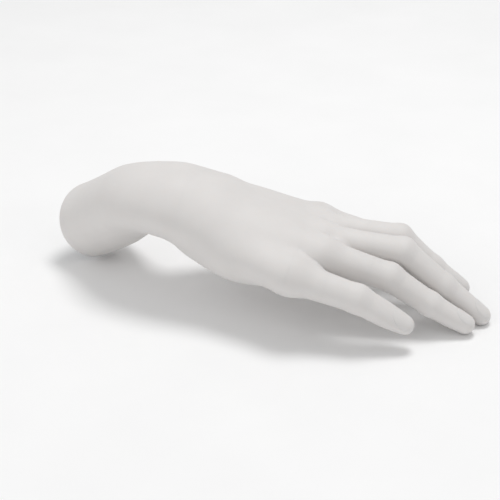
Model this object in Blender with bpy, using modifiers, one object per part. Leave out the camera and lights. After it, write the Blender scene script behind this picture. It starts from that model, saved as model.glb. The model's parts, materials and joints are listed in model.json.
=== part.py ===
"""Passive prosthetic left hand: a silicone skin over an articulated inner hand with friction joints.

World frame: +Z up, the hand rests on z = 0 on its fingertips and on the rim of its wrist stub.
+X points to the fingertips and +Y to the little finger's side.
Each sub-part is modelled about the joint or the seat that it belongs to, then placed by a frame.
"""
import bpy
import bmesh
from math import cos, pi, radians, sin, tan
from mathutils import Matrix, Vector

MM = 0.001

# ---------------------------------------------------------------- driving dimensions
ORIGIN_FROM_WRIST = Vector((48.2, 3.4)) * MM      # middle of the footprint, seen from the wrist's centre
WRIST_HEIGHT = 48.8 * MM
PALM_PITCH = 8.2                                   # degrees, fingertips lower than the wrist
PALM_ROLL = 0.9                                    # degrees, thumb side lower
FOREARM_RISE = 27.5                                # degrees, the stub climbs to the wrist
FOREARM_YAW = -34.5                                # degrees, the stub comes from the little finger's side
STUB_LENGTH = 67.8 * MM

AXLE_FROM_WRIST = Vector((79.0, 0, -1.2)) * MM     # common knuckle axle, in the hand's frame
AXLE_SKEW = 8.5                                    # degrees, the little finger's knuckle sits further back
AXLE_TILT = -7.5                                   # degrees, the little finger's knuckle sits lower

# per finger: place along the axle, phalanx lengths, bends at the three joints, splay, half width
FINGERS = {
    "index": dict(place=-22.0, lengths=(34.5, 24.0, 19.2), bends=(8.2, 17.4, -4.6), splay=2.2, half=6.9),
    "middle": dict(place=-4.0, lengths=(40.5, 27.2, 22.7), bends=(-6.6, 37.0, -1.5), splay=-1.9, half=6.9),
    "ring": dict(place=13.0, lengths=(40.5, 22.3, 16.6), bends=(-8.6, 40.0, -6.0), splay=-4.5, half=6.7),
    "little": dict(place=27.4, lengths=(28.7, 17.0, 15.5), bends=(3.1, 22.7, 3.0), splay=-5.0, half=6.2),
}
THUMB_ROOT = Vector((23.6, -24.1, -9.2)) * MM      # base of the thumb's metacarpal, in the hand's frame
THUMB_LENGTHS = (49.5, 33.5, 25.2)
THUMB_BENDS = (-5.8, 12.2, 14.1)
THUMB_SPLAYS = (-17.0, 14.5, 5.9)
THUMB_HALF = 6.9 * MM
TIP_TAPER = 0.22                                   # share of its width that a finger loses by its tip

SKIN = 1.5 * MM                                    # wall of the silicone skin
SKIN_GAP = 6.2 * MM                                # the skin stops this far from a finger joint
KNUCKLE_GAP = 8.0 * MM                             # and this far from the knuckle axle
SKIN_START = KNUCKLE_GAP + 2.4 * MM                # a finger's skin starts this far from the knuckle axle
WRIST_GAP = 13.0 * MM                              # and this far from the wrist joint
FIT = 0.3 * MM                                     # gap between pieces that touch

LINK_WIDTH = 6.0 * MM
LINK_DEPTH = 6.0 * MM
TONGUE = 2.6 * MM
SLOT = 3.2 * MM
PIN_R = 1.2 * MM
PIN_HOLE_R = 1.4 * MM
SEAT = 4.0 * MM                                    # room kept around a joint's rounded eye
LINK_START = KNUCKLE_GAP + 1.7 * MM                # a root link's bar, clear of the slanting knuckle bar

CUFF_HALF = Vector((22.5, 19.6)) * MM              # forearm stub, half breadth and half thickness
WRIST_HALF = Vector((22.5, 18.0)) * MM
BLOCK_START, BLOCK_END = 7.0 * MM, 38.0 * MM       # cuff block, measured from the stub's end face

# along the palm from wrist to knuckles: share of the length, half breadth to the thumb and to the
# little finger, height of the back, depth of the palm, drop of the thumb's ball (all mm)
PALM_SECTIONS = (
    (0.0, 28, 22, 18.0, 18.5, 0),
    (0.3, 35, 27, 15.5, 18.5, 5),
    (0.6, 45, 31, 14.0, 16.5, 7),
    (0.85, 48, 33.5, 13.0, 16.5, 5),
    (1.0, 47, 35.0, 12.0, 16.0, 4),
)
PALM_MIDDLE = 3.0 * MM
PALM_ROUNDNESS = 0.70                              # 1 is an ellipse, less is boxier
AXLE_R = 1.75 * MM
LUGS = (-13.0 * MM, 20.3 * MM)                     # middles of the palm frame's two lugs along the axle
LUG_R = 4.4 * MM
TONGUE_SCREWS = (Vector((27.0, -5.0, 0)) * MM, Vector((27.0, 9.0, 0)) * MM)
BRACKET_SCREW = Vector((43.0, -12.5, 0)) * MM
SPINDLE_R = 6.0 * MM
FLEXION_PIN_R = 2.8 * MM
ROUND = 16                                         # sides of small round pieces

# name: base colour, roughness, metallic
FINISHES = {
    "silicone": ((0.78, 0.77, 0.75), 0.62, 0.0),
    "foam": ((0.62, 0.60, 0.52), 0.95, 0.0),
    "nylon": ((0.16, 0.17, 0.18), 0.55, 0.0),
    "aluminium": ((0.60, 0.61, 0.63), 0.38, 1.0),
    "steel": ((0.42, 0.42, 0.43), 0.30, 1.0),
    "ptfe": ((0.85, 0.86, 0.84), 0.45, 0.0),
}


# ---------------------------------------------------------------- scene
for old in list(bpy.data.objects):
    bpy.data.objects.remove(old, do_unlink=True)


def collection(name):
    made = bpy.data.collections.new(name)
    bpy.context.scene.collection.children.link(made)
    return made


PARTS = collection("prosthetic_hand")
CUTTERS = collection("cutters")


def finish(name):
    colour, roughness, metallic = FINISHES[name]
    material = bpy.data.materials.new(name)
    material.use_nodes = True
    shader = material.node_tree.nodes["Principled BSDF"]
    shader.inputs["Base Color"].default_value = (*colour, 1.0)
    shader.inputs["Roughness"].default_value = roughness
    shader.inputs["Metallic"].default_value = metallic
    return material


MATERIALS = {name: finish(name) for name in FINISHES}


# ---------------------------------------------------------------- frames
def turn(axis, degrees):
    return Matrix.Rotation(radians(degrees), 3, axis)


def frame(origin, x_axis, up):
    """A frame at origin whose X runs along x_axis and whose Z is as near to up as it can be."""
    x = x_axis.normalized()
    y = up.cross(x).normalized()
    z = x.cross(y)
    made = Matrix((x, y, z)).transposed().to_4x4()
    made.translation = origin
    return made


def direction(bend, splay):
    """Unit vector in the hand's frame: bend turns it to the palm's side, splay to the little finger."""
    b, s = radians(bend), radians(splay)
    return Vector((cos(b) * cos(s), cos(b) * sin(s), -sin(b)))


HAND_TURN = turn('Y', PALM_PITCH) @ turn('X', PALM_ROLL)
WRIST = Vector((-ORIGIN_FROM_WRIST.x, -ORIGIN_FROM_WRIST.y, WRIST_HEIGHT))
HAND = HAND_TURN.to_4x4()
HAND.translation = WRIST
UP_OF_HAND = HAND_TURN @ Vector((0, 0, 1))

FOREARM_DIR = turn('Z', FOREARM_YAW) @ turn('Y', -FOREARM_RISE) @ Vector((1, 0, 0))
STUB_END = WRIST - FOREARM_DIR * STUB_LENGTH
FOREARM = frame(STUB_END, FOREARM_DIR, Vector((0, 0, 1)))
FLEXION_AXIS = FOREARM_DIR.cross(HAND_TURN @ Vector((1, 0, 0))).normalized()
YOKE = frame(STUB_END, FOREARM_DIR, FOREARM_DIR.cross(FLEXION_AXIS))
TONGUE_FRAME = frame(WRIST, HAND_TURN @ Vector((1, 0, 0)), (HAND_TURN @ Vector((1, 0, 0))).cross(FLEXION_AXIS))

AXLE_TURN = HAND_TURN @ turn('X', AXLE_TILT) @ turn('Z', AXLE_SKEW)
KNUCKLES = AXLE_TURN.to_4x4()
KNUCKLES.translation = HAND @ AXLE_FROM_WRIST


def chain(start, lengths, bends, splays):
    """Joint positions and bone directions, from cumulative bends and splays."""
    points, ways = [start], []
    bend = splay = 0.0
    for length, more_bend, more_splay in zip(lengths, bends, splays):
        bend, splay = bend + more_bend, splay + more_splay
        ways.append(HAND_TURN @ direction(bend, splay))
        points.append(points[-1] + ways[-1] * length * MM)
    return points, ways


def finger_bones(finger):
    """Frames of a finger's root and tip, the tip's length and the middle joint's bend."""
    knuckle = KNUCKLES @ Vector((0, finger["place"] * MM, 0))
    points, ways = chain(knuckle, finger["lengths"], finger["bends"], (finger["splay"], 0, 0))
    across = ways[0].cross(ways[1]).normalized()
    root = frame(points[0], ways[0], ways[0].cross(across))
    middle = frame(points[1], ways[1], ways[1].cross(across))
    far = frame(points[2], ways[2], ways[2].cross(across))
    return root, middle, far


# ---------------------------------------------------------------- shapes
def add(name, mesh, material, where, holder=PARTS):
    made = bpy.data.objects.new(name, mesh)
    made.matrix_world = where
    holder.objects.link(made)
    if material:
        mesh.materials.append(MATERIALS[material])
    return made


def mesh_from(name, shape):
    mesh = bpy.data.meshes.new(name)
    bmesh.ops.recalc_face_normals(shape, faces=shape.faces)
    shape.to_mesh(mesh)
    shape.free()
    return mesh


def box_mesh(name, low, high):
    shape = bmesh.new()
    bmesh.ops.create_cube(shape, size=1.0)
    for vert in shape.verts:
        vert.co = Vector([(a + b) / 2 + c * (b - a) for a, b, c in zip(low, high, vert.co)])
    return mesh_from(name, shape)


def box(name, low, high, material, where, bevel=0.0):
    made = add(name, box_mesh(name, low, high), material, where)
    if bevel:
        soften(made, bevel)
    return made


def soften(made, width, segments=2):
    rounding = made.modifiers.new("rounding", 'BEVEL')
    rounding.width = width
    rounding.segments = segments
    rounding.limit_method = 'ANGLE'
    rounding.angle_limit = radians(50)
    return made


def rod_mesh(name, radius, start, end, sides=ROUND):
    """A cylinder from start to end."""
    shape = bmesh.new()
    way = end - start
    place = Matrix.Translation((start + end) / 2) @ way.to_track_quat('Z', 'Y').to_matrix().to_4x4()
    bmesh.ops.create_cone(shape, cap_ends=True, segments=sides, radius1=radius, radius2=radius,
                          depth=way.length, matrix=place)
    return mesh_from(name, shape)


def rod(name, radius, start, end, material, where, sides=ROUND):
    made = add(name, rod_mesh(name, radius, start, end, sides), material, where)
    made.data.shade_smooth()
    made.data.set_sharp_from_angle(angle=radians(40))
    return made


def turned(name, profile, material, where, sides=32):
    """A piece turned about its frame's X axis from (distance along X, radius) pairs."""
    mesh = bpy.data.meshes.new(name)
    points = [Vector((radius, 0, -along)) for along, radius in profile]
    closed = points[0].x > 0
    edges = [(i, i + 1) for i in range(len(points) - 1)]
    if closed:
        edges.append((len(points) - 1, 0))
    mesh.from_pydata(points, edges, [])
    x_to_minus_z = Matrix.Rotation(-pi / 2, 4, 'Y')
    made = add(name, mesh, material, where @ x_to_minus_z)
    lathe = made.modifiers.new("lathe", 'SCREW')
    lathe.axis = 'Z'
    lathe.steps = lathe.render_steps = sides
    lathe.use_merge_vertices = True
    lathe.merge_threshold = 0.01 * MM
    lathe.use_normal_flip = True
    return made


def cut(made, mesh, where):
    """Takes a closed cutter's volume out of a part."""
    cutter = add(made.name + "_cutter", mesh, None, where, CUTTERS)
    cutter.hide_render = True
    cutter.display_type = 'WIRE'
    carve = made.modifiers.new("cut", 'BOOLEAN')
    carve.operation = 'DIFFERENCE'
    carve.object = cutter
    return made


def join(made, mesh, where):
    """Adds a closed shape's volume to a part."""
    cut(made, mesh, where).modifiers[-1].operation = 'UNION'
    return made


def flat_mesh(name, outline, thickness):
    """A flat outline in the frame's XZ plane, as thick along Y as given and centred on it."""
    curve = bpy.data.curves.new(name, 'CURVE')
    curve.dimensions = '2D'
    curve.fill_mode = 'BOTH'
    curve.extrude = thickness / 2
    line = curve.splines.new('POLY')
    line.points.add(len(outline) - 1)
    for point, (x, z) in zip(line.points, outline):
        point.co = (x, z, 0, 1)
    line.use_cyclic_u = True
    guide = bpy.data.objects.new(name, curve)
    bpy.context.scene.collection.objects.link(guide)
    depsgraph = bpy.context.evaluated_depsgraph_get()
    mesh = bpy.data.meshes.new_from_object(guide.evaluated_get(depsgraph))
    bpy.data.objects.remove(guide, do_unlink=True)
    shape = bmesh.new()
    shape.from_mesh(mesh)
    bmesh.ops.remove_doubles(shape, verts=shape.verts, dist=0.001 * MM)
    shape.transform(Matrix.Rotation(pi / 2, 4, 'X'))
    bpy.data.meshes.remove(mesh)
    return mesh_from(name, shape)


def arc(centre_x, radius, start, end, steps=8):
    """Points of an arc about (centre_x, 0), angles in degrees."""
    angles = [radians(start + (end - start) * i / steps) for i in range(steps + 1)]
    return [(centre_x + radius * cos(a), radius * sin(a)) for a in angles]


def loft(name, rings, material, where, closed_tip):
    """An open tube through rings of equally many points, given a wall by Solidify."""
    shape = bmesh.new()
    rows = [[shape.verts.new(point) for point in ring] for ring in rings]
    count = len(rings[0])
    for near, far in zip(rows, rows[1:]):
        for i in range(count):
            j = (i + 1) % count
            shape.faces.new((near[i], near[j], far[j], far[i]))
    if closed_tip:
        shape.faces.new(rows[-1])
    bmesh.ops.recalc_face_normals(shape, faces=shape.faces)
    mesh = bpy.data.meshes.new(name)
    shape.to_mesh(mesh)
    shape.free()
    made = add(name, mesh, material, where)
    made.data.shade_smooth()
    wall = made.modifiers.new("wall", 'SOLIDIFY')
    wall.thickness = SKIN
    wall.offset = -1.0
    return made


def oval(x, half_width, back, palm, sides=20, across=0.0, lift=0.0):
    """A ring across X with half axes half_width, back (upwards) and palm (downwards)."""
    ring = []
    for i in range(sides):
        a = 2 * pi * i / sides
        height = back if sin(a) > 0 else palm
        ring.append(Vector((x, across + half_width * cos(a), lift + height * sin(a))))
    return ring


# ---------------------------------------------------------------- finger pieces
def link(name, length, start, end, where, material="aluminium"):
    """A finger's inner bar. Its start is a tongue or a tenon, its end a fork or a rounded point."""
    r0 = LINK_DEPTH / 2
    r1 = r0 if end == "fork" else r0 * 0.7
    first = arc(0, r0, 90, 270) if start == "tongue" else [(LINK_START, r0), (LINK_START, -r0)]
    outline = first + arc(length, r1, -90, 90)
    made = add(name, flat_mesh(name, outline, LINK_WIDTH), material, where)
    wide = LINK_WIDTH
    if start == "tongue":
        for side in (-1, 1):
            near, far = sorted((side * TONGUE / 2, side * wide))
            cut(made, box_mesh(name, (-2 * SEAT, near, -wide), (SEAT, far, wide)), where)
        cut(made, rod_mesh(name, PIN_HOLE_R, Vector((0, -wide, 0)), Vector((0, wide, 0))), where)
    if end == "fork":
        cut(made, box_mesh(name, (length - SEAT, -SLOT / 2, -wide), (length + 2 * SEAT, SLOT / 2, wide)), where)
        cut(made, rod_mesh(name, PIN_HOLE_R, Vector((length, -wide, 0)), Vector((length, wide, 0))), where)
    return made


def joint_pin(name, where, along=0.0, half=LINK_WIDTH / 2):
    return rod(name, PIN_R, Vector((along, -half, 0)), Vector((along, half, 0)), "steel", where)


def tip_skin(name, start, length, half, where, drop):
    """Closed end of a finger's skin: tapers to a rounded tip that bends down by drop."""
    rings = []
    shoulder = length - 0.75 * half
    for i in range(5):
        t = i / 4
        x = start + (shoulder - start) * t
        size = half * (1 - TIP_TAPER * t)
        rings.append(oval(x, size, size * 0.94, size * 1.04, lift=-drop * t * t))
    for i in range(1, 5):
        a = radians(20 * i)
        x = shoulder + (length + 0.72 * half - shoulder) * sin(a)
        size = half * (1 - TIP_TAPER) * cos(a)
        rings.append(oval(x, size, size * 0.94, size * 1.04, lift=-drop * (1 + 0.35 * sin(a))))
    return loft(name, rings, "silicone", where, closed_tip=True)


def root_skin(name, start, end, half_start, half_end, where):
    rings = []
    for i in range(5):
        t = i / 4
        size = half_start + (half_end - half_start) * t
        rings.append(oval(start + (end - start) * t, size, size * 1.02, size * 1.08))
    return loft(name, rings, "silicone", where, closed_tip=False)


def build_finger(name, finger):
    root, middle = finger_bones(finger)[:2]
    first, second, third = (length * MM for length in finger["lengths"])
    half = finger["half"] * MM
    tip_bend = sin(radians(finger["bends"][2])) * third
    root_link = link(name + "_root_link", first, "tenon", "fork", root)
    join(root_link, box_mesh(name, (KNUCKLE_GAP - 3.6 * MM, -2.2 * MM, -2.2 * MM),
                             (LINK_START + MM, 2.2 * MM, 2.2 * MM)), root)
    clamp_at = KNUCKLE_GAP - 2.0 * MM
    cut(root_link, rod_mesh(name, 1.25 * MM, Vector((clamp_at, 0, -4 * MM)), Vector((clamp_at, 0, 4 * MM))), root)
    rod(name + "_clamp_screw", MM, Vector((clamp_at, 0, -3.2 * MM)), Vector((clamp_at, 0, 3.8 * MM)),
        "steel", root, sides=12)
    joint_pin(name + "_joint_pin", root, first)
    root_skin(name + "_root_skin", SKIN_START, first - SKIN_GAP, half + 0.4 * MM, half, root)
    link(name + "_tip_link", 0.9 * second, "tongue", "point", middle)
    tip_skin(name + "_tip_skin", SKIN_GAP, second + third - 0.4 * half, half - 0.2 * MM, middle, tip_bend)


def build_knuckle_bar():
    """Carries the four fingers on the common axle; two slots clear the palm frame's lugs."""
    name = "knuckle_bar"
    face = KNUCKLE_GAP - FIT
    low = Vector((-3.8 * MM, -26.2 * MM, -3.8 * MM))
    high = Vector((face, 30.8 * MM, 3.5 * MM))
    made = box(name, low, high, "aluminium", KNUCKLES)
    cut(made, rod_mesh(name, AXLE_R + 0.2 * MM, Vector((0, -60 * MM, 0)), Vector((0, 60 * MM, 0))), KNUCKLES)
    for place in LUGS:
        cut(made, box_mesh(name, (-9 * MM, place - 3.3 * MM, -9 * MM), (4.9 * MM, place + 3.3 * MM, 9 * MM)), KNUCKLES)
    for finger in FINGERS.values():
        root = finger_bones(finger)[0]
        cut(made, box_mesh(name, (KNUCKLE_GAP - 4.0 * MM, -2.5 * MM, -2.5 * MM), (12 * MM, 2.5 * MM, 2.5 * MM)), root)
        at = KNUCKLE_GAP - 2.0 * MM
        cut(made, rod_mesh(name, 1.25 * MM, Vector((at, 0, -3.5 * MM)), Vector((at, 0, 8 * MM)), 12), root)
    return made


def palm_ring(share):
    """The palm's outline at a share of its length; its far end follows the knuckles and the thumb."""
    for near, far in zip(PALM_SECTIONS, PALM_SECTIONS[1:]):
        if near[0] <= share <= far[0]:
            t = (share - near[0]) / (far[0] - near[0])
            thumb, little, back, palm, drop = ((a + (b - a) * t) * MM for a, b in zip(near[1:], far[1:]))
    ring = []
    for i in range(28):
        a = 2 * pi * i / 28
        across, height = (abs(part) ** PALM_ROUNDNESS for part in (cos(a), sin(a)))
        y = PALM_MIDDLE + (little * across if cos(a) > 0 else -thumb * across)
        to_thumb = across if cos(a) < 0 else 0.0
        z = (back * height if sin(a) > 0 else -palm * height) - drop * to_thumb ** 2
        z += tan(radians(AXLE_TILT)) * max(0.0, y) * share
        far_x = AXLE_FROM_WRIST.x - sin(radians(AXLE_SKEW)) * y - KNUCKLE_GAP
        far_x -= 0.78 * max(0.0, -22 * MM - y)
        ring.append(Vector((WRIST_GAP + (far_x - WRIST_GAP) * share, y, z)))
    return ring


def upright(mesh_name, radius, place, low, high, sides=ROUND):
    """A rod along the hand's Z through a place on the palm frame."""
    up = Vector((0, 0, 1))
    return rod_mesh(mesh_name, radius, place + low * up, place + high * up, sides)


def screw(name, radius, place, low, high, where):
    made = add(name, upright(name, radius, place, low, high, 12), "steel", where)
    return made


def build_palm():
    """Frame plate with its lugs, the knuckle axle, the pads and the skin of the palm."""
    edge = 9.5 * MM
    lies_flat = Matrix.Translation((0, 0, -0.6 * MM)) @ Matrix.Rotation(-pi / 2, 4, 'X')
    outline = [(x * MM, y * MM) for x, y in ((22, -14), (90, -19), (90, 26.5), (22, 16))]
    plate = add("palm_frame", flat_mesh("palm_frame", outline, 5 * MM), "nylon", HAND @ lies_flat)
    cut(plate, box_mesh("front", (-edge, -80 * MM, -20 * MM), (60 * MM, 80 * MM, 20 * MM)), KNUCKLES)
    for place in LUGS:
        at = KNUCKLES @ Matrix.Translation((0, place, 0))
        outline = arc(0, LUG_R, 90, -90) + [(-edge - 9 * MM, -2.0 * MM), (-edge - 9 * MM, 2.0 * MM)]
        join(plate, flat_mesh("lug", outline, 6.0 * MM), at)
        cut(plate, rod_mesh("hole", AXLE_R + 0.2 * MM, Vector((0, -4 * MM, 0)), Vector((0, 4 * MM, 0))), at)
    for place in (*TONGUE_SCREWS, BRACKET_SCREW):
        cut(plate, upright("hole", 1.8 * MM, place, -9 * MM, 9 * MM), HAND)

    rod("knuckle_axle", AXLE_R, Vector((0, -27.0 * MM, 0)), Vector((0, 32.2 * MM, 0)), "steel", KNUCKLES)
    for name, place in (("axle_clip_index", -28.0 * MM), ("axle_clip_little", 33.2 * MM)):
        rod(name, 2.8 * MM, Vector((0, place - MM, 0)), Vector((0, place + MM, 0)), "steel", KNUCKLES)

    box("dorsal_pad", (22.0 * MM, -14.0 * MM, 2.3 * MM), (58.0 * MM, 15.0 * MM, 6.0 * MM), "foam", HAND,
        bevel=1.5 * MM)
    box("palmar_pad", (38.0 * MM, -6.0 * MM, -10.0 * MM), (56.0 * MM, 13.0 * MM, -4.4 * MM), "foam", HAND,
        bevel=1.5 * MM)
    rings = [palm_ring(i / 7) for i in range(8)]
    loft("palm_skin", rings, "silicone", HAND, closed_tip=False)


def build_wrist_hinge():
    """The yoke on the cuff block, the palm's tongue between its ears, and the pin that clamps them."""
    reach = STUB_LENGTH
    eye_r = 6.0 * MM
    base = BLOCK_END + FIT
    ears = (4.6 * MM, 7.8 * MM)
    yoke = box("flexion_yoke", (base, -13.0 * MM, -5 * MM), (base + 4 * MM, 13.0 * MM, 5 * MM), "aluminium", YOKE)
    outline = arc(reach, eye_r, -90, 90) + [(base + MM, eye_r * 0.9), (base + MM, -eye_r * 0.9)]
    for side in (-1, 1):
        at = YOKE @ Matrix.Translation((0, side * sum(ears) / 2, 0))
        join(yoke, flat_mesh("ear", outline, ears[1] - ears[0]), at)
    cut(yoke, rod_mesh("hole", FLEXION_PIN_R + FIT, Vector((reach, -20 * MM, 0)), Vector((reach, 20 * MM, 0)), 24),
        YOKE)
    for number, side in enumerate((-1, 1), 1):
        low, high = (Vector((x, side * 10.8 * MM, 0)) for x in (BLOCK_END - 9 * MM, base + 3.6 * MM))
        for part, extra in ((yoke, 0), (bpy.data.objects["cuff_block"], -MM)):
            cut(part, rod_mesh("hole", 1.9 * MM, low + Vector((extra, 0, 0)), high + Vector((9 * MM, 0, 0))), YOKE)
        rod(f"yoke_screw_{number}", 1.6 * MM, low, high, "steel", YOKE, sides=12)

    tongue_bar = arc(0, eye_r, 90, 270) + [(20 * MM, -5 * MM), (20 * MM, 5 * MM)]
    tongue = add("wrist_tongue", flat_mesh("wrist_tongue", tongue_bar, 6.4 * MM), "aluminium", TONGUE_FRAME)
    join(tongue, box_mesh("foot", (12 * MM, -10 * MM, -7.4 * MM), (34 * MM, 14 * MM, -3.4 * MM)), HAND)
    cut(tongue, rod_mesh("hole", FLEXION_PIN_R + FIT, Vector((0, -20 * MM, 0)), Vector((0, 20 * MM, 0)), 24),
        TONGUE_FRAME)
    for number, place in enumerate(TONGUE_SCREWS, 1):
        cut(tongue, upright("hole", 1.8 * MM, place, -12 * MM, -MM), HAND)
        screw(f"tongue_screw_{number}", 1.5 * MM, place, -7.0 * MM, 1.6 * MM, HAND)

    pin_frame = frame(WRIST, FLEXION_AXIS, FOREARM_DIR)
    head, shaft, end = -11.3 * MM, -8.1 * MM, 12.6 * MM
    turned("flexion_pin", ((end, 0), (end, FLEXION_PIN_R), (shaft, FLEXION_PIN_R), (shaft, 5 * MM),
                           (head, 5 * MM), (head, 0)), "steel", pin_frame, sides=24)
    ring("flexion_nut", 8.1 * MM, 11.6 * MM, FLEXION_PIN_R + FIT, 5.2 * MM, "steel", pin_frame)
    for name, low in (("friction_washer_thumb", -4.3 * MM), ("friction_washer_little", 3.5 * MM)):
        ring(name, low, low + 0.8 * MM, FLEXION_PIN_R + FIT, 5.8 * MM, "ptfe", pin_frame)


def ring(name, low, high, inner, outer, material, where):
    profile = ((high, inner), (high, outer), (low, outer), (low, inner))
    return turned(name, profile, material, where, sides=24)


def build_forearm():
    """Cuff block and skin on the stub, and the rotation unit that carries them on the coupling."""
    block = bmesh.new()
    place = Matrix.Translation(((BLOCK_START + BLOCK_END) / 2, 0, 0)) @ Matrix.Rotation(pi / 2, 4, 'Y')
    bmesh.ops.create_cone(block, cap_ends=True, segments=40, radius1=1, radius2=1,
                          depth=BLOCK_END - BLOCK_START, matrix=place)
    for vert in block.verts:
        vert.co.y *= WRIST_HALF.x - 4.6 * MM
        vert.co.z *= WRIST_HALF.y - 5.4 * MM
    cuff = add("cuff_block", mesh_from("cuff_block", block), "nylon", FOREARM)
    cuff.data.set_sharp_from_angle(angle=radians(40))
    axis = Vector((1, 0, 0))
    cut(cuff, rod_mesh("bore", SPINDLE_R + 0.4 * MM, Vector((0, 0, 0)), 60 * MM * axis, 32), FOREARM)
    cut(cuff, rod_mesh("counterbore", 8.2 * MM, 26 * MM * axis, 60 * MM * axis, 32), FOREARM)

    rings = []
    for i in range(5):
        t = i / 4
        half = CUFF_HALF.lerp(WRIST_HALF, t)
        rings.append(oval((STUB_LENGTH - WRIST_GAP) * t, half.x, half.y, half.y, sides=32))
    loft("cuff_skin", rings, "silicone", FOREARM, closed_tip=False)

    plate_back, flange_back = 4.5 * MM, BLOCK_START - FIT
    turned("coupling_plate", ((plate_back, 0), (plate_back, 17 * MM), (0.8 * MM, 17 * MM),
                              (0, 16.2 * MM), (0, 0)), "aluminium", FOREARM)
    turned("wrist_spindle", ((36 * MM, 0), (36 * MM, 5 * MM), (35 * MM, SPINDLE_R), (flange_back, SPINDLE_R),
                             (flange_back, 8.5 * MM), (plate_back + FIT, 8.5 * MM), (plate_back + FIT, 0)),
           "steel", FOREARM)
    ring("rotation_washer", plate_back + FIT, flange_back, 9.2 * MM, 16 * MM, "ptfe", FOREARM)
    ring("disc_spring", 26.3 * MM, 28.3 * MM, SPINDLE_R + FIT, 7.8 * MM, "steel", FOREARM)
    ring("spindle_nut", 28.6 * MM, 34.0 * MM, SPINDLE_R + FIT, 7.7 * MM, "steel", FOREARM)


def build_thumb():
    """Bracket on the palm frame, the swinging root, and the tip that bends."""
    start = HAND @ THUMB_ROOT
    points, ways = chain(start, THUMB_LENGTHS, THUMB_BENDS, THUMB_SPLAYS)
    base, first, second = (length * MM for length in THUMB_LENGTHS)
    across = ways[1].cross(ways[2]).normalized()
    metacarpal = frame(points[0], ways[0], UP_OF_HAND)
    swing = frame(points[1], ways[1], UP_OF_HAND)
    root = frame(points[1], ways[1], ways[1].cross(across))
    tip = frame(points[2], ways[2], ways[2].cross(across))

    bracket = box("thumb_bracket", (base - 22 * MM, -3.8 * MM, -3.3 * MM), (base + 3.8 * MM, 3.8 * MM, 3.5 * MM),
                  "aluminium", metacarpal)
    join(bracket, box_mesh("foot", (39 * MM, -34 * MM, -7.6 * MM), (54 * MM, -8 * MM, -3.4 * MM)), HAND)
    join(bracket, box_mesh("head", (base - 6.6 * MM, -3.7 * MM, -4.8 * MM), (base + 3.7 * MM, 3.7 * MM, 4.8 * MM)),
         metacarpal)
    cut(bracket, box_mesh("slot", (-5 * MM, -9 * MM, -1.8 * MM), (9 * MM, 9 * MM, 1.8 * MM)), swing)
    up = Vector((0, 0, 1))
    cut(bracket, rod_mesh("hole", 1.7 * MM, -9 * MM * up, 9 * MM * up), swing)
    cut(bracket, upright("hole", 1.8 * MM, BRACKET_SCREW, -12 * MM, -MM), HAND)
    screw("bracket_screw", 1.5 * MM, BRACKET_SCREW, -6.9 * MM, 1.6 * MM, HAND)
    rod("thumb_pivot", 1.5 * MM, -5.2 * MM * up, 5.2 * MM * up, "steel", swing)

    bar_start = 6.6 * MM
    r0 = LINK_DEPTH / 2
    outline = [(bar_start, r0), (bar_start, -r0)] + arc(first, r0, -90, 90)
    link_root = add("thumb_root_link", flat_mesh("thumb_root_link", outline, LINK_WIDTH), "aluminium", root)
    join(link_root, box_mesh("neck", (0, -3 * MM, -1.5 * MM), (bar_start + MM, 3 * MM, 1.5 * MM)), swing)
    join(link_root, rod_mesh("eye", 4 * MM, -1.5 * MM * up, 1.5 * MM * up, 24), swing)
    cut(link_root, rod_mesh("hole", 1.7 * MM, -9 * MM * up, 9 * MM * up), swing)
    wide = LINK_WIDTH
    cut(link_root, box_mesh("slot", (first - SEAT, -SLOT / 2, -wide), (first + 2 * SEAT, SLOT / 2, wide)), root)
    cut(link_root, rod_mesh("hole", PIN_HOLE_R, Vector((first, -wide, 0)), Vector((first, wide, 0))), root)
    joint_pin("thumb_joint_pin", root, first)
    root_skin("thumb_root_skin", 6.5 * MM, first - SKIN_GAP, THUMB_HALF + 0.5 * MM, THUMB_HALF, root)
    link("thumb_tip_link", 0.4 * second, "tongue", "point", tip)
    tip_skin("thumb_tip_skin", SKIN_GAP, second - 0.4 * THUMB_HALF, THUMB_HALF, tip, 0.8 * MM)


build_forearm()
build_palm()
build_wrist_hinge()
build_knuckle_bar()
for finger_name, finger_sizes in FINGERS.items():
    build_finger(finger_name, finger_sizes)
build_thumb()
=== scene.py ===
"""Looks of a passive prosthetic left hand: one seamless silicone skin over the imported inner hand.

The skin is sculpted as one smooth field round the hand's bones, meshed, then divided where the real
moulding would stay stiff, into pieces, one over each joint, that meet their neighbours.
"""
import json
from math import cos, radians, sin

import bpy
import numpy as np
from mathutils import Matrix, Vector


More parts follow.
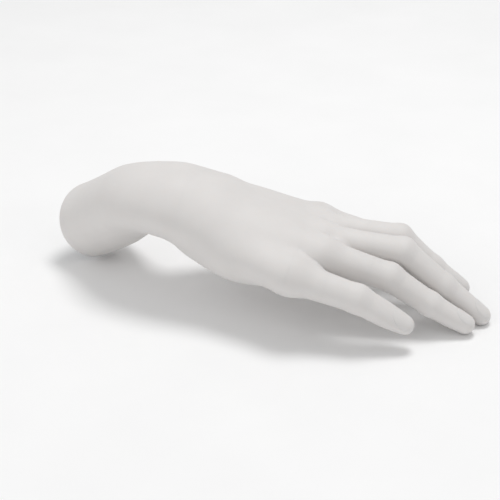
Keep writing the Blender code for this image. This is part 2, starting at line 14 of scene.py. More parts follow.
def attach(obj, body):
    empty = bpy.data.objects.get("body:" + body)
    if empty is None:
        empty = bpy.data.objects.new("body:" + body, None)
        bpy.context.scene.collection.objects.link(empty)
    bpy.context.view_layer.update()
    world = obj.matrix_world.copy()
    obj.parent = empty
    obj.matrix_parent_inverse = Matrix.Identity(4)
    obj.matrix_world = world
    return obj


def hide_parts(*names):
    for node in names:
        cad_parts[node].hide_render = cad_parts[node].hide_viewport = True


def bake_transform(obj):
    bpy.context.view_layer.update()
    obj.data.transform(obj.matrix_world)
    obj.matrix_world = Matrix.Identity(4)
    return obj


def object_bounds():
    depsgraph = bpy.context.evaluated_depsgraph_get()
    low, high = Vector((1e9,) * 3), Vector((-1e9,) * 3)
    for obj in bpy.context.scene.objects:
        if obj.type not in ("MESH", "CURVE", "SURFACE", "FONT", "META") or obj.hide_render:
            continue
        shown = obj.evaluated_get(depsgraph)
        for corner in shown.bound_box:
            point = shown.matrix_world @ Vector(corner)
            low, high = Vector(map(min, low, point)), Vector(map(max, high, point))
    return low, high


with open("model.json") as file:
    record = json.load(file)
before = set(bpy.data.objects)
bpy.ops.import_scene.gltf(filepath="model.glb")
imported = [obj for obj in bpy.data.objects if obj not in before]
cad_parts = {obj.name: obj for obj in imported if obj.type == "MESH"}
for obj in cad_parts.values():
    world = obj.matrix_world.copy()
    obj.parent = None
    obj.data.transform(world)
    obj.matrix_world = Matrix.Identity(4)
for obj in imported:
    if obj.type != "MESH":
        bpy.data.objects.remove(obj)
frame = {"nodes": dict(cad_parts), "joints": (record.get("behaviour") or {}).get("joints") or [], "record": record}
cad_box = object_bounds()

MM = 0.001
JOINTS = {joint["name"]: joint for joint in frame["joints"]}

# ---------------------------------------------------------------- the hand's bones, in millimetres
PALM_PITCH = 8.2                     # degrees, fingertips lower than the wrist
PALM_ROLL = 0.9                      # degrees, thumb side lower
FINGERS = ("index", "middle", "ring", "little")
# place along the knuckle axle, phalanx lengths past the middle joint, their bends from the palm's plane, splay
KNUCKLE_PLACE = {"index": -22.0, "middle": -4.0, "ring": 13.0, "little": 27.4}
OUTER_LENGTHS = {"index": (24.0, 19.2), "middle": (27.2, 22.7), "ring": (22.3, 16.6), "little": (17.0, 15.5)}
OUTER_BENDS = {"index": (25.6, 21.0), "middle": (30.4, 28.9), "ring": (31.4, 25.4), "little": (25.8, 28.8)}
SPLAY = {"index": 2.2, "middle": -1.9, "ring": -4.5, "little": -5.0}
THUMB_TIP_LENGTH = 25.2
THUMB_TIP_BEND, THUMB_TIP_SPLAY = 20.5, 3.4

VOXEL = 0.62  # spacing of the sculpting grid
COARSE = 4                           # the first, rough pass looks at blocks of this many voxels
WALL = 1.2                           # thickness of the silicone
FINGER_GAP = 0.45                    # half the gap between two fingers that lie side by side
CORE = 0.3                           # inside this share of a section, its distance is measured from the middle
TINY = 1e-6                          # keeps a distance from being divided by nothing


def smooth_step(low, high, value):
    t = np.clip((value - low) / (high - low), 0.0, 1.0)
    return t * t * (3.0 - 2.0 * t)


def turn(axis, degrees):
    return np.array(Matrix.Rotation(radians(degrees), 3, axis))


def joint_place(name):
    return np.array(JOINTS[name]["pos_m"]) / MM


def joint_axis(name):
    axis = np.array(JOINTS[name]["axis"], float)
    return axis / np.linalg.norm(axis)


HAND = turn('Y', PALM_PITCH) @ turn('X', PALM_ROLL)
WRIST = joint_place("wrist_flexion")
STUB_END = joint_place("wrist_rotation")
FOREARM_DIR = joint_axis("wrist_rotation")
UP = HAND @ np.array([0.0, 0.0, 1.0])


def from_hand(place):
    return WRIST + HAND @ np.array(place, float)


def knuckle(name):
    return joint_place("knuckle_flexion") + KNUCKLE_PLACE[name] * joint_axis("knuckle_flexion")


def direction(bend, splay):
    b, s = radians(bend), radians(splay)
    return HAND @ np.array([cos(b) * cos(s), cos(b) * sin(s), -sin(b)])


class Limb:
    """A run of bones with an oval section that changes along it."""

    def __init__(self, points, up, stations, half_width, back, palm, tip=None, blend=2.5, side=None):
        self.points = [np.array(point, float) for point in points]
        self.frames = []
        self.starts = [0.0]
        for near, far in zip(self.points, self.points[1:]):
            along = (far - near) / np.linalg.norm(far - near)
            across = np.cross(up, along) if side is None else side - along * np.dot(side, along)
            across /= np.linalg.norm(across)
            self.frames.append(np.array([along, across, np.cross(along, across)]))
            self.starts.append(self.starts[-1] + np.linalg.norm(far - near))
        self.stations, self.half_width, self.back, self.palm = stations, half_width, back, palm
        self.tip, self.blend = tip, blend

    def local(self, points, number):
        return (points - self.points[number]) @ self.frames[number].T

    def field(self, points):
        """Distance to the limb's surface, below zero inside."""
        total = None
        last = len(self.frames) - 1
        for number in range(last + 1):
            x, y, z = self.local(points, number).T
            length = self.starts[number + 1] - self.starts[number]
            held = np.clip(x, 0.0, length)
            along = held + self.starts[number]
            width = np.interp(along, self.stations, self.half_width)
            back = np.interp(along, self.stations, self.back)
            palm = np.interp(along, self.stations, self.palm)
            height = np.where(z > 0, back, palm)
            past = x - held
            cap = np.minimum(width, np.minimum(back, palm))
            if number == last and self.tip:
                cap = np.where(past > 0, self.tip, cap)
            ratio = np.sqrt((past / cap) ** 2 + (y / width) ** 2 + (z / height) ** 2) + TINY
            reach = np.sqrt(past ** 2 + y ** 2 + z ** 2)
            piece = np.where(ratio < CORE, reach - height, reach - reach / ratio)
            total = piece if total is None else smooth_min(total, piece, self.blend)
        return total


def smooth_min(a, b, softness):
    share = np.clip(0.5 + 0.5 * (b - a) / softness, 0.0, 1.0)
    return b * (1 - share) + a * share - softness * share * (1 - share)


def smooth_max(a, b, softness):
    return -smooth_min(-a, -b, softness)


def blob(points, centre, along, radii):
    """Distance to an ellipsoid whose long axis follows a direction in the hand's frame."""
    x = np.array(along, float) / np.linalg.norm(along)
    y = np.cross((0, 0, 1), x)
    y /= np.linalg.norm(y)
    axes = np.array([x, y, np.cross(x, y)])
    q = (points - WRIST) @ HAND - np.array(centre, float)
    q = q @ axes.T
    ratio = np.sqrt(((q / np.array(radii)) ** 2).sum(1)) + TINY
    reach = np.sqrt((q ** 2).sum(1))
    return np.where(ratio < CORE, reach - min(radii), reach - reach / ratio)


# half width, back and palm side of each finger at: knuckle, mid root, middle joint, mid middle, end joint, pulp
FINGER_SHARES = (0.0, 0.5, 1.0, 1.5, 2.0, 2.6, 3.0)
FINGER_WIDTHS = {
    "index": (8.4, 7.5, 7.2, 6.6, 6.3, 5.8, 5.2),
    "middle": (8.4, 7.5, 7.2, 6.6, 6.3, 5.8, 5.2),
    "ring": (8.2, 7.3, 7.0, 6.4, 6.1, 5.6, 5.0),
    "little": (7.6, 6.7, 6.4, 5.8, 5.5, 5.1, 4.7),
}
BACK_OF_WIDTH = (0.98, 0.90, 0.86, 0.86, 0.86, 0.82, 0.80)
PALM_OF_WIDTH = (1.25, 1.16, 0.98, 1.06, 0.96, 1.04, 1.00)
KNUCKLE_BACK = {"index": 7.6, "middle": 8.4, "ring": 7.8, "little": 6.2}


def finger_limb(name):
    middle = joint_place(name + "_bend")
    points = [knuckle(name), middle]
    for length, bend in zip(OUTER_LENGTHS[name], OUTER_BENDS[name]):
        points.append(points[-1] + length * direction(bend, SPLAY[name]))
    lengths = [0.0] + [float(np.linalg.norm(b - a)) for a, b in zip(points, points[1:])]
    stations = np.interp(FINGER_SHARES, range(4), np.cumsum(lengths))
    width = np.array(FINGER_WIDTHS[name])
    back = width * BACK_OF_WIDTH
    back[0] = KNUCKLE_BACK[name]
    return Limb(points, UP, stations, width, back, width * PALM_OF_WIDTH,
                tip=width[-1] * 1.05)


def thumb_limb():
    swing, bend = joint_place("thumb_swing"), joint_place("thumb_bend")
    tip = bend + THUMB_TIP_LENGTH * direction(THUMB_TIP_BEND, THUMB_TIP_SPLAY)
    side = joint_axis("thumb_bend")
    stations = (0.0, 16.0, 33.5, 40.0, 48.0, 54.0, 58.7)
    half_width = np.array((8.6, 7.6, 7.0, 6.8, 6.6, 5.9, 5.0))
    back = np.array((8.2, 7.2, 6.6, 6.0, 5.2, 4.5, 3.9))
    palm = np.array((8.6, 7.4, 6.6, 6.4, 6.0, 5.4, 4.6))
    return Limb([swing, bend, tip], UP, stations, half_width, back, palm, tip=5.2, side=side)


LIMBS = {name: finger_limb(name) for name in FINGERS}
LIMBS["thumb"] = thumb_limb()

# metacarpals: from the carpus to each knuckle
CARPUS = {"index": (10.0, -9.0, 2.0), "middle": (9.0, -3.0, 3.5), "ring": (9.0, 4.0, 3.0), "little": (9.0, 9.0, 0.0)}
PALM_LIMBS = []
for finger_name in FINGERS:
    start = from_hand(CARPUS[finger_name])
    reach = float(np.linalg.norm(knuckle(finger_name) - start))
    last_width = FINGER_WIDTHS[finger_name][0]
    half_width = np.array((12.0, 11.0, last_width + 0.6))
    back = np.array((11.0, 9.6, KNUCKLE_BACK[finger_name]))
    palm = np.array((12.0, 13.0, 12.0))
    PALM_LIMBS.append(Limb([start, knuckle(finger_name)], UP, (0.0, 0.5 * reach, reach), half_width, back, palm))
# the ball of the thumb, along its metacarpal
BALL = Limb([from_hand((22.0, -15.0, -6.0)), joint_place("thumb_swing")], UP,
            (0.0, 25.0, 58.0), np.array((10.5, 10.5, 8.7)), np.array((11.0, 10.0, 8.3)),
            np.array((12.0, 12.5, 8.8)))
# the stub and the wrist follow one smooth curve: through these places, along these directions
ARM_START, ARM_END = STUB_END - 12 * FOREARM_DIR, from_hand((24.0, 0.0, 0.5))
ARM_WAYS = 72.0 * FOREARM_DIR, 50.0 * HAND[:, 0]


def arm_curve(t):
    """A point on the curve from the stub's end to the palm, t from 0 to 1."""
    first, last = ARM_START + ARM_WAYS[0], ARM_END - ARM_WAYS[1]
    return ((1 - t) ** 3 * ARM_START + 3 * t * (1 - t) ** 2 * first + 3 * t * t * (1 - t) * last + t ** 3 * ARM_END)


class Sleeve:
    """A smooth tube along a curve, with an oval section that changes along it."""

    def __init__(self, nodes, stations, half_width, back, palm):
        self.nodes = nodes
        self.along = np.gradient(nodes, axis=0)
        self.spacing = np.linalg.norm(self.along, axis=1)
        self.along /= self.spacing[:, None]
        self.across = np.cross((0.0, 0.0, 1.0), self.along)
        self.across /= np.linalg.norm(self.across, axis=1)[:, None]
        self.lengths = np.concatenate([[0.0], np.cumsum(np.linalg.norm(np.diff(nodes, axis=0), axis=1))])
        self.stations, self.sizes = stations, (half_width, back, palm)

    def at(self, values, place):
        """Values kept at the nodes, blended at fractional node numbers."""
        low = np.clip(place.astype(int), 0, len(self.nodes) - 2)
        share = (place - low)[:, None]
        return values[low] * (1 - share) + values[low + 1] * share

    def field(self, points):
        last = len(self.nodes) - 1.0
        nearest = (self.nodes ** 2).sum(1) - 2 * points @ self.nodes.T
        place = np.argmin(nearest, axis=1).astype(float)
        spacing = self.spacing.mean()
        for _ in range(3):
            ahead = ((points - self.at(self.nodes, place)) * self.at(self.along, place)).sum(1)
            place = np.clip(place + ahead / spacing, 0.0, last)
        offset = points - self.at(self.nodes, place)
        along, across = self.at(self.along, place), self.at(self.across, place)
        x, y = (offset * along).sum(1), (offset * across).sum(1)
        z = (offset * np.cross(along, across)).sum(1)
        run = np.interp(place, np.arange(len(self.nodes)), self.lengths)
        width, back, palm = (np.interp(run, self.stations, size) for size in self.sizes)
        height = np.where(z > 0, back, palm)
        cap = np.minimum(width, np.minimum(back, palm))
        ratio = np.sqrt((x / cap) ** 2 + (y / width) ** 2 + (z / height) ** 2) + TINY
        reach = np.sqrt(x ** 2 + y ** 2 + z ** 2)
        return np.where(ratio < CORE, reach - height, reach - reach / ratio)


# how far along the curve, then the half width, the back and the palm side there
ARM_NODES = 33
ARM_STATIONS = (0.0, 12.0, 42.0, 60.0, 74.0, 88.0, 104.0)
ARM_HALF_WIDTH = (22.0, 21.6, 21.0, 21.5, 23.0, 25.0, 26.0)
ARM_BACK = (20.2, 20.2, 20.2, 20.0, 18.4, 15.2, 12.8)
ARM_PALM = (19.7, 19.8, 18.6, 16.6, 15.0, 13.2, 12.0)
ARM = Sleeve(np.array([arm_curve(t) for t in np.linspace(0.0, 1.0, ARM_NODES)]),
             ARM_STATIONS, ARM_HALF_WIDTH, ARM_BACK, ARM_PALM)


def finger_union(points):
    """All five digits, webbed near the knuckles and apart past the webs; also which digit is nearest."""
    fields = {name: limb.field(points) for name, limb in LIMBS.items()}
    total = fields["index"]
    names = ("index", "middle", "ring", "little", "thumb")
    for near, far in zip(names, names[1:]):
        pair = ("index", "thumb") if far == "thumb" else (near, far)
        along = LIMBS[far].local(points, 0)[:, 0]
        web = WEBS[far]
        softness = 0.3 + 6.5 * (1 - smooth_step(web - 12.0, web + 1.0, along))
        joined = smooth_min(total, fields[far], softness)
        apart = (np.abs(fields[pair[0]] - fields[pair[1]])) / 2
        wanted = -6.0 + (6.0 + FINGER_GAP) * smooth_step(web - 3.0, web + 1.5, along)
        close = np.maximum(fields[pair[0]], fields[pair[1]]) < 4.0
        total = np.where(close, smooth_max(joined, wanted - apart, 0.5), joined)
    nearest = np.argmin(np.stack([fields[name] for name in names]), axis=0)
    return total, nearest


SIDE = np.cross((0.0, 0.0, 1.0), FOREARM_DIR)
SIDE /= np.linalg.norm(SIDE)
FOREARM_AXES = np.array([FOREARM_DIR, SIDE, np.cross(FOREARM_DIR, SIDE)])
RECESS = (18.6, 17.9)                # half axes of the hollow in the stub's end that the coupling sits in
RECESS_DEPTH = 6.9
# how far along each digit the web to the one before it reaches
WEBS = {"middle": 21.0, "ring": 20.0, "little": 15.0, "thumb": 3.0}
# how softly neighbouring shapes run into each other
METACARPAL_BLEND, CARPUS_BLEND, BALL_BLEND, PAD_BLEND = 11.0, 12.0, 8.0, 10.0
DIGIT_ROOT_BLEND = 6.0
STUB_EDGE, RECESS_EDGE = 2.5, 0.8    # rounding of the stub's end and of the recess's rim


def palm_field(points):
    """The stub, the palm with its metacarpals, the ball of the thumb and the heel of the hand."""
    total = ARM.field(points)
    palm = None
    for limb in PALM_LIMBS:
        field = limb.field(points)
        palm = field if palm is None else smooth_min(palm, field, METACARPAL_BLEND)
    total = smooth_min(total, palm, CARPUS_BLEND)
    ball = smooth_min(BALL.field(points), blob(points, (41, -18, -11), (1, -0.35, 0), (24, 13, 11)), BALL_BLEND)
    heel = blob(points, (34, 21, -10), (1, 0.2, 0), (32, 13, 12))
    total = smooth_min(total, ball, PAD_BLEND)
    return smooth_min(total, heel, PAD_BLEND)


# small hollows where the grooves between the fingers run out:
# the two knuckles, then mm ahead of them, mm above them, mm across and mm deep
DENTS = (("index", "middle", 4.0, 6.5, 4.0, 1.0), ("middle", "ring", 2.0, 6.5, 3.6, 0.9),
         ("index", "index", -2.0, 5.5, 4.5, 0.8))


def hand_field(points):
    """The whole skin's outer surface, and the nearest digit."""
    digits, nearest = finger_union(points)
    palm = palm_field(points)
    total = smooth_min(digits, palm, DIGIT_ROOT_BLEND)
    s, y, z = ((points - STUB_END) @ FOREARM_AXES.T).T
    for near, far, ahead, above, across, deep in DENTS:
        centre = (knuckle(near) + knuckle(far)) / 2 + ahead * HAND[:, 0] + above * HAND[:, 2]
        total = total + deep * np.exp(-((points - centre) ** 2).sum(1) / across ** 2)
    total = smooth_max(total, -s, STUB_EDGE)
    ratio = np.sqrt((y / RECESS[0]) ** 2 + (z / RECESS[1]) ** 2) + TINY
    reach = np.sqrt(y ** 2 + z ** 2)
    recess = np.maximum(reach - reach / ratio, s - RECESS_DEPTH)
    return smooth_max(total, -recess, RECESS_EDGE), nearest


# ---------------------------------------------------------------- meshing the field
CORNERS = np.array([(i, j, k) for i in (0, 1) for j in (0, 1) for k in (0, 1)])
EDGES = [(a, b) for a in range(8) for b in range(a + 1, 8) if np.abs(CORNERS[a] - CORNERS[b]).sum() == 1]


def field_in_chunks(points, size=200000):
    parts = [hand_field(points[i:i + size]) for i in range(0, len(points), size)]
    return np.concatenate([part[0] for part in parts]), np.concatenate([part[1] for part in parts])


def sample_grid(low, high, step):
    """The field on a regular grid, worked out finely only near the surface."""
    coarse = step * COARSE
    counts = np.ceil((high - low) / coarse).astype(int) + 1
    axes = [low[i] + coarse * (np.arange(counts[i]) + 0.5) for i in range(3)]
    middles = np.stack(np.meshgrid(*axes, indexing='ij'), -1).reshape(-1, 3)
    rough = field_in_chunks(middles)[0].reshape(counts)
    near = np.abs(rough) < coarse * 1.6
    values = rough
    for axis in range(3):
        near, values = near.repeat(COARSE, axis), values.repeat(COARSE, axis)
    index = np.argwhere(near)
    points = low + step * index
    values[tuple(index.T)] = field_in_chunks(points)[0]
    return values


def surface_net(values, low, step):
    """Vertices and quads of the zero surface: one vertex in each cell that the surface crosses."""
    inside = values < 0
    shape = np.array(values.shape) - 1
    count = sum(inside[i:i + shape[0], j:j + shape[1], k:k + shape[2]].astype(np.int8) for i, j, k in CORNERS)
    cells = np.argwhere((count > 0) & (count < 8))
    number = -np.ones(shape, np.int64)
    number[tuple(cells.T)] = np.arange(len(cells))
    corner_values = np.stack([values[tuple((cells + corner).T)] for corner in CORNERS], 1)
    total = np.zeros((len(cells), 3))
    crossings = np.zeros(len(cells))
    for a, b in EDGES:
        va, vb = corner_values[:, a], corner_values[:, b]
        crossed = (va < 0) != (vb < 0)
        share = np.where(crossed, va / np.where(crossed, va - vb, 1.0), 0.0)[:, None]
        total += np.where(crossed[:, None], CORNERS[a] + share * (CORNERS[b] - CORNERS[a]), 0.0)
        crossings += crossed
    vertices = low + step * (cells + total / crossings[:, None])
    quads = []
    for axis in range(3):
        others = [i for i in range(3) if i != axis]
        ahead = np.moveaxis(inside, axis, 0)
        change = np.argwhere(ahead[1:, 1:-1, 1:-1] != ahead[:-1, 1:-1, 1:-1])
        edge = np.zeros_like(change)
        edge[:, axis] = change[:, 0]
        edge[:, others[0]] = change[:, 1] + 1
        edge[:, others[1]] = change[:, 2] + 1
        leaves = inside[tuple(edge.T)]
        ring = []
        for back_a, back_b in ((1, 1), (0, 1), (0, 0), (1, 0)):
            cell = edge.copy()
            cell[:, others[0]] -= back_a
            cell[:, others[1]] -= back_b
            ring.append(number[tuple(cell.T)])
        ring = np.stack(ring, 1)
        flip = leaves if axis == 1 else ~leaves
        ring[flip] = ring[flip][:, ::-1]
        quads.append(ring)
    return vertices, np.concatenate(quads)


def gradient(points, step=0.15):
    """Direction out of the surface at each point."""
    out = np.empty_like(points)
    for axis in range(3):
        shift = np.zeros(3)
        shift[axis] = step
        out[:, axis] = field_in_chunks(points + shift)[0] - field_in_chunks(points - shift)[0]
    return out / (2 * step)


def sculpt_skin():
    low = np.array(cad_box[0]) / MM - 8.0
    high = np.array(cad_box[1]) / MM + 8.0
    values = sample_grid(low, high, VOXEL)
    vertices, quads = surface_net(values, low, VOXEL)
    for _ in range(2):
        slope = gradient(vertices)
        value = field_in_chunks(vertices)[0]
        move = -(value / np.maximum((slope ** 2).sum(1), 0.25))[:, None] * slope
        vertices += np.clip(move, -0.5 * VOXEL, 0.5 * VOXEL)
    slope = gradient(vertices)
    normals = slope / np.linalg.norm(slope, axis=1)[:, None]
    return vertices, quads, normals, field_in_chunks(vertices)[1]


# ---------------------------------------------------------------- dividing the skin into pieces
THUMB_DIR = joint_place("thumb_bend") - joint_place("thumb_swing")
THUMB_DIR /= np.linalg.norm(THUMB_DIR)
PALM_DIR = HAND @ np.array([1.0, 0.0, 0.0])
KNUCKLE_DIR = np.cross(joint_axis("knuckle_flexion"), UP)
KNUCKLE_DIR /= np.linalg.norm(KNUCKLE_DIR)


def span(middle, way_in, way_out, before, after):
    """Where a piece starts and ends its bend over a joint."""
    return middle - before * way_in, middle + after * way_out


# piece: bodies it joins, where its bend starts and ends, CAD skins it stands for
BENDS = {
    "skin_cuff": ("forearm", "palm", span(WRIST, FOREARM_DIR, PALM_DIR, 17.0, 19.0), ("cuff_skin",)),
    "skin_palm": ("palm", "fingers", span(joint_place("knuckle_flexion"), KNUCKLE_DIR, KNUCKLE_DIR, 12.0, 11.0),
                  ("palm_skin",)),
    "skin_thumb_root": ("palm", "thumb", span(joint_place("thumb_swing"), THUMB_DIR, THUMB_DIR, 0.0, 12.0),
                        ("thumb_root_skin",)),
    "skin_thumb_tip": ("thumb", "thumb_tip", span(joint_place("thumb_bend"), THUMB_DIR, LIMBS["thumb"].frames[1][0],
                                                  9.0, 9.0), ("thumb_tip_skin",)),
}
for finger_name in FINGERS:
    ways = LIMBS[finger_name].frames
    BENDS["skin_" + finger_name] = ("fingers", finger_name + "_tip",
                                    span(joint_place(finger_name + "_bend"), ways[0][0], ways[1][0], 8.0, 8.0),
                                    (finger_name + "_root_skin", finger_name + "_tip_skin"))
# how far along each digit its own piece starts; what comes before belongs to the palm
FINGER_SEAMS = {"index": 24.0, "middle": 26.0, "ring": 25.0, "little": 18.0}
THUMB_SEAM, THUMB_TIP_SEAM = -1.0, 17.0


def piece_of_each_face(centres, nearest):
    """Names the piece that each face of the skin belongs to."""
    names = np.full(len(centres), "skin_palm", dtype=object)
    start, end = BENDS["skin_cuff"][2]
    share = ((centres - start) @ (end - start)) / ((end - start) @ (end - start))
    names[share < 1.04] = "skin_cuff"
    for number, name in enumerate(FINGERS):
        along = LIMBS[name].local(centres, 0)[:, 0]
        names[(nearest == number) & (along > FINGER_SEAMS[name])] = "skin_" + name
    along = LIMBS["thumb"].local(centres, 0)[:, 0]
    on_thumb = nearest == len(FINGERS)
    names[on_thumb & (along > THUMB_SEAM)] = "skin_thumb_root"
    names[on_thumb & (along > THUMB_TIP_SEAM)] = "skin_thumb_tip"
    return names


def shell_object(name, vertices, normals, quads):
    """A closed shell: the outer faces, an inner wall, and a rim round each open edge."""
    used, faces = np.unique(quads, return_inverse=True)
    faces = faces.reshape(quads.shape)
    outer, out_way = vertices[used], normals[used]
    count = len(outer)
    edges = np.stack([faces, np.roll(faces, -1, axis=1)], -1).reshape(-1, 2)
    keys = edges[:, 0] * count + edges[:, 1]
    back = edges[:, 1] * count + edges[:, 0]
    rim = edges[~np.isin(keys, back)]
    rim_faces = np.stack([rim[:, 1], rim[:, 0], rim[:, 0] + count, rim[:, 1] + count], 1)
    every_face = np.concatenate([faces, faces[:, ::-1] + count, rim_faces])
    every_vertex = np.concatenate([outer, outer - WALL * out_way]) * MM
    mesh = bpy.data.meshes.new(name)
    mesh.from_pydata(every_vertex.tolist(), [], every_face.tolist())
    mesh.shade_smooth()
    mesh.normals_split_custom_set_from_vertices(np.concatenate([out_way, -out_way]).tolist())
    made = bpy.data.objects.new(name, mesh)
    bpy.context.scene.collection.objects.link(made)
    return made


def build_skin():
    """Sculpts the skin and makes one shell of each piece."""
    vertices, quads, normals, nearest = sculpt_skin()
    centres = vertices[quads].mean(1)
    names = piece_of_each_face(centres, nearest[quads[:, 0]])
    pieces = {}
    for name in BENDS:
        pieces[name] = shell_object(name, vertices, normals, quads[names == name])
    return pieces


# ---------------------------------------------------------------- materials
def linear(code, alpha=1.0):
    """An sRGB hex colour as the linear numbers that shaders take."""
    parts = [int(code[i:i + 2], 16) / 255 for i in (0, 2, 4)]
    return [p / 12.92 if p <= 0.04045 else ((p + 0.055) / 1.055) ** 2.4 for p in parts] + [alpha]


def add_node(tree, kind, settings=None, inputs=None):
    """Adds a node: settings are its properties, inputs are values or the sockets that feed it."""
    node = tree.nodes.new(kind)
    for key, value in (settings or {}).items():
        setattr(node, key, value)
    for key, value in (inputs or {}).items():
        socket = node.inputs[key]
        if isinstance(value, bpy.types.NodeSocket):
            tree.links.new(value, socket)
        else:
            socket.default_value = value
    return node


def new_material(name):
    material = bpy.data.materials.new(name)
    material.use_nodes = True
    tree = material.node_tree
    shader = tree.nodes["Principled BSDF"]
    place = add_node(tree, "ShaderNodeTexCoord").outputs["Object"]
    return material, tree, shader, place


def uneven_finish(name, dark, light, rough, cloud_mm, grain_mm, depth_mm, bump_strength):
    """A material whose colour and shine drift in clouds, with a fine grain standing off the surface.

    cloud_mm and grain_mm are the sizes of the patches and of the grain, depth_mm the grain's height.
    """
    material, tree, shader, place = new_material(name)
    cloud, grain = (add_node(tree, "ShaderNodeTexNoise", inputs={
        "Vector": place, "Scale": 1 / (size_mm * MM), "Detail": 3.0}) for size_mm in (cloud_mm, grain_mm))
    colour = add_node(tree, "ShaderNodeMix", {"data_type": 'RGBA'}, {
        0: cloud.outputs["Fac"], 6: linear(dark), 7: linear(light)})
    shine = add_node(tree, "ShaderNodeMapRange", inputs={
        "Value": grain.outputs["Fac"], "To Min": rough - 0.07, "To Max": rough + 0.07})
    relief = add_node(tree, "ShaderNodeBump", inputs={
        "Height": grain.outputs["Fac"], "Distance": depth_mm * MM, "Strength": bump_strength})
    for output, socket in ((colour.outputs[2], "Base Color"), (shine.outputs[0], "Roughness"),
                           (relief.outputs["Normal"], "Normal")):
        tree.links.new(output, shader.inputs[socket])
    return material, shader


def cast_silicone(name, rough):
    """Unpigmented platinum silicone cast in a matt mould: chalky white, soft shine, light just under the skin."""
    material, shader = uneven_finish(name, "D9D6D4", "E0DDDB", rough, 13.0, 0.8, 0.05, 0.35)
    for key, value in (("IOR", 1.41), ("Subsurface Weight", 0.15), ("Subsurface Scale", 0.0015),
                       ("Subsurface Radius", (1.0, 0.85, 0.75)), ("Sheen Weight", 0.08), ("Sheen Roughness", 0.5)):
        shader.inputs[key].default_value = value
    return material


def machined_metal(name, dark, light, rough):
    """Turned or milled metal: fine tool marks, too fine to see singly, that break up the highlight."""
    material, shader = uneven_finish(name, dark, light, rough, 4.0, 0.4, 0.02, 0.4)
    shader.inputs["Metallic"].default_value = 1.0
    return material


def moulded_plastic(name, dark, light, rough, grain_mm, depth_mm, ior):
    """Moulded plastic or foam: an even grain from the mould, with slightly uneven shine."""
    material, shader = uneven_finish(name, dark, light, rough, 5.0, grain_mm, depth_mm, 0.5)
    shader.inputs["IOR"].default_value = ior
    return material


SILICONE = cast_silicone("matt_cast_silicone", 0.60)
NAIL_SILICONE = cast_silicone("polished_cast_silicone", 0.42)   # the mould is polished where the nails are
FINISHES = {
    "silicone": SILICONE,
    # anodised aluminium, satin: pale grey with a faint grain
    "aluminium": machined_metal("satin_anodised_aluminium", "A9ABAE", "C4C6C9", 0.36),
    # stainless steel, turned: darker and shinier than the aluminium
    "steel": machined_metal("turned_stainless_steel", "8F8E8C", "B2B1AE", 0.26),
    # glass-filled nylon, moulded: nearly black with a dull sparkle
    "nylon": moulded_plastic("glass_filled_nylon", "242527", "303234", 0.52, 0.5, 0.03, 1.53),
    # polyurethane foam: yellowed, open cells
    "foam": moulded_plastic("polyurethane_foam", "B4AB8E", "CFC7AC", 0.90, 0.9, 0.25, 1.5),
    # PTFE sheet, skived: milky white, waxy
    "ptfe": moulded_plastic("skived_ptfe", "DDDCD6", "ECEBE6", 0.42, 1.5, 0.01, 1.35),
}


# ---------------------------------------------------------------- nails
# half width of each nail, and how far its middle sits behind the centre of the fingertip
NAILS = {"index": (4.5, 1.2), "middle": (4.6, 1.2), "ring": (4.4, 1.2), "little": (3.8, 1.0), "thumb": (4.9, 1.6)}
NAIL_LENGTH = 1.28                   # half length of a nail as a share of its half width
NAIL_THICKNESS = 0.34                # how far the middle of a nail stands off the skin
NAIL_SQUARENESS = 0.8                # 1 leaves the outline oval, less makes it squarer
NAIL_START = 6.5                     # how far over the bone a nail starts before it settles on the skin
NAIL_STEPS, NAIL_STEP = 12, 0.8      # how many times it is lowered, and by what share of the distance left


def nail_tree():
    """Geometry Nodes for one nail: a ball pressed into a squarish lens of a given size."""
    tree = bpy.data.node_groups.new("nail_plate", "GeometryNodeTree")
    tree.interface.new_socket("Geometry", in_out='OUTPUT', socket_type='NodeSocketGeometry')
    for name in ("Half length", "Half width", "Thickness"):
        tree.interface.new_socket(name, in_out='INPUT', socket_type='NodeSocketFloat')
    tree.interface.new_socket("Material", in_out='INPUT', socket_type='NodeSocketMaterial')
    sizes = add_node(tree, "NodeGroupInput")
    ball = add_node(tree, "GeometryNodeMeshUVSphere", inputs={"Segments": 64, "Rings": 32, "Radius": 1.0})
    here = add_node(tree, "ShaderNodeSeparateXYZ", inputs={0: add_node(tree, "GeometryNodeInputPosition").outputs[0]})
    square = []
    for axis in ("X", "Y"):          # a signed power below one makes the outline squarer
        distance = add_node(tree, "ShaderNodeMath", {"operation": 'ABSOLUTE'}, {0: here.outputs[axis]})
        power = add_node(tree, "ShaderNodeMath", {"operation": 'POWER'}, {0: distance.outputs[0], 1: NAIL_SQUARENESS})
        sign = add_node(tree, "ShaderNodeMath", {"operation": 'SIGN'}, {0: here.outputs[axis]})
        signed = add_node(tree, "ShaderNodeMath", {"operation": 'MULTIPLY'}, {0: power.outputs[0], 1: sign.outputs[0]})
        square.append(signed.outputs[0])
    square.append(here.outputs["Z"])
    pressed = add_node(tree, "ShaderNodeCombineXYZ", inputs=dict(enumerate(square)))
    size = add_node(tree, "ShaderNodeCombineXYZ", inputs={
        number: sizes.outputs[name] for number, name in enumerate(("Half length", "Half width", "Thickness"))})
    place = add_node(tree, "ShaderNodeVectorMath", {"operation": 'MULTIPLY'}, {
        0: pressed.outputs[0], 1: size.outputs[0]})
    shaped = add_node(tree, "GeometryNodeSetPosition", inputs={
        "Geometry": ball.outputs["Mesh"], "Position": place.outputs[0]})
    real = add_node(tree, "GeometryNodeRealizeInstances", inputs={"Geometry": shaped.outputs[0]})
    painted = add_node(tree, "GeometryNodeSetMaterial", inputs={
        "Geometry": real.outputs[0], "Material": sizes.outputs["Material"]})
    add_node(tree, "NodeGroupOutput", inputs={"Geometry": painted.outputs[0]})
    return tree


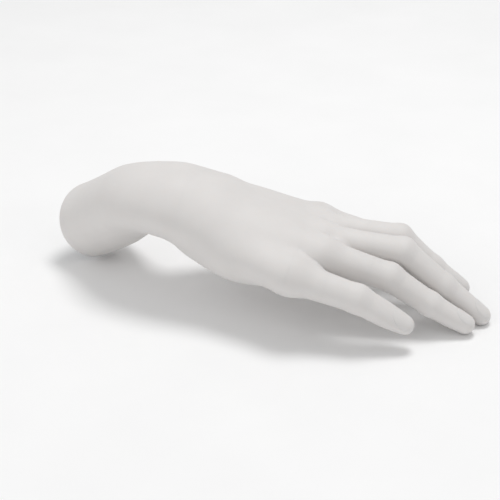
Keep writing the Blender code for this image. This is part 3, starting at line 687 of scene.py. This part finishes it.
def nail_lens(tree, name, half_width):
    """The tree's lens as a plain mesh object, in millimetres round the origin."""
    holder = bpy.data.objects.new(name + "_maker", bpy.data.meshes.new(name))
    bpy.context.scene.collection.objects.link(holder)
    modifier = holder.modifiers.new("nail", 'NODES')
    modifier.node_group = tree
    wanted = {"Half length": half_width * NAIL_LENGTH, "Half width": half_width, "Thickness": NAIL_THICKNESS,
              "Material": NAIL_SILICONE}
    for socket in tree.interface.items_tree:
        if socket.name in wanted:
            modifier[socket.identifier] = wanted[socket.name]
    graph = bpy.context.evaluated_depsgraph_get()
    mesh = bpy.data.meshes.new_from_object(holder.evaluated_get(graph))
    bpy.data.objects.remove(holder, do_unlink=True)
    made = bpy.data.objects.new(name, mesh)
    bpy.context.scene.collection.objects.link(made)
    return made


def build_nails():
    """Lays a lens on the back of each fingertip, following the skin, and lets it ride on the tip."""
    tree = nail_tree()
    for name, (half_width, behind) in NAILS.items():
        nail = nail_lens(tree, "nail_" + name, half_width)
        limb = LIMBS[name]
        axes = limb.frames[-1]
        count = len(nail.data.vertices)
        flat = np.empty(count * 3)
        nail.data.vertices.foreach_get("co", flat)
        flat = flat.reshape(-1, 3)
        points = limb.points[-1] + (flat * (1, 1, 0) + (-behind, 0, NAIL_START)) @ axes
        for _ in range(NAIL_STEPS):
            points -= np.clip(hand_field(points)[0], -1.0, 1.0)[:, None] * NAIL_STEP * axes[2]
        slope = gradient(points)
        points += flat[:, 2:] * slope / np.linalg.norm(slope, axis=1)[:, None]
        nail.data.vertices.foreach_set("co", (points * MM).ravel())
        nail.data.shade_smooth()
        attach(nail, "thumb_tip" if name == "thumb" else name + "_tip")


# ---------------------------------------------------------------- camera, light and floor
CAMERA_AZIMUTH, CAMERA_ELEVATION = 11.04, 26.91
CAMERA_DISTANCE = 693.9 * MM
LOOK_AT = Vector((WRIST + (42.7, 0.0, -23.2)) * MM)
LENS, SENSOR_WIDTH = 100.0, 36.0


def add_camera():
    a, e = radians(CAMERA_AZIMUTH), radians(CAMERA_ELEVATION)
    back = Vector((sin(a) * cos(e), -cos(a) * cos(e), sin(e)))
    data = bpy.data.cameras.new("camera")
    data.lens = LENS
    data.sensor_width = SENSOR_WIDTH
    data.clip_start = 0.01
    camera = bpy.data.objects.new("camera", data)
    camera.location = LOOK_AT + back * CAMERA_DISTANCE
    camera.rotation_euler = back.to_track_quat('Z', 'Y').to_euler()
    bpy.context.scene.collection.objects.link(camera)
    bpy.context.scene.camera = camera


def add_light(name, place, power, size):
    data = bpy.data.lights.new(name, 'AREA')
    data.energy = power
    data.shape = 'DISK'
    data.size = size
    lamp = bpy.data.objects.new(name, data)
    lamp.location = Vector(place)
    lamp.rotation_euler = (Vector(place) - LOOK_AT).to_track_quat('Z', 'Y').to_euler()
    bpy.context.scene.collection.objects.link(lamp)


FLOOR = 6.0                          # half width of the floor, in metres
WORLD_STRENGTH = 0.55


def add_stage():
    mesh = bpy.data.meshes.new("floor")
    corners = [(x * FLOOR, y * FLOOR, 0) for x, y in ((-1, -1), (1, -1), (1, 1), (-1, 1))]
    mesh.from_pydata(corners, [], [(0, 1, 2, 3)])
    floor = bpy.data.objects.new("floor", mesh)
    bpy.context.scene.collection.objects.link(floor)
    # white seamless paper: bright, dull, with hardly any shine
    material, shader = uneven_finish("white_backdrop_paper", "F4F4F4", "FAFAFA", 0.88, 60.0, 1.0, 0.02, 0.1)
    shader.inputs["Specular IOR Level"].default_value = 0.2
    mesh.materials.append(material)
    world = bpy.data.worlds.new("studio")
    world.use_nodes = True
    world.node_tree.nodes["Background"].inputs["Color"].default_value = linear("FFFFFF")
    world.node_tree.nodes["Background"].inputs["Strength"].default_value = WORLD_STRENGTH
    bpy.context.scene.world = world
    bpy.context.scene.view_settings.view_transform = 'Standard'


add_camera()
add_light("key", (0.16, 0.30, 1.45), 9.5, 0.6)
add_light("fill", (-0.6, -1.0, 0.9), 3.0, 1.2)
add_stage()

# ---------------------------------------------------------------- assembly
slots = {entry["node"]: entry["material_slot"] for entry in frame["record"]["subparts"]}
for node_name, node in frame["nodes"].items():
    node.data.materials.clear()
    node.data.materials.append(FINISHES[slots[node_name]])

for piece_name, piece in build_skin().items():
    piece.data.materials.append(SILICONE)
    body_a, body_b, (start, end), replaced = BENDS[piece_name]
    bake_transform(piece)
    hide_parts(*replaced)

build_nails()
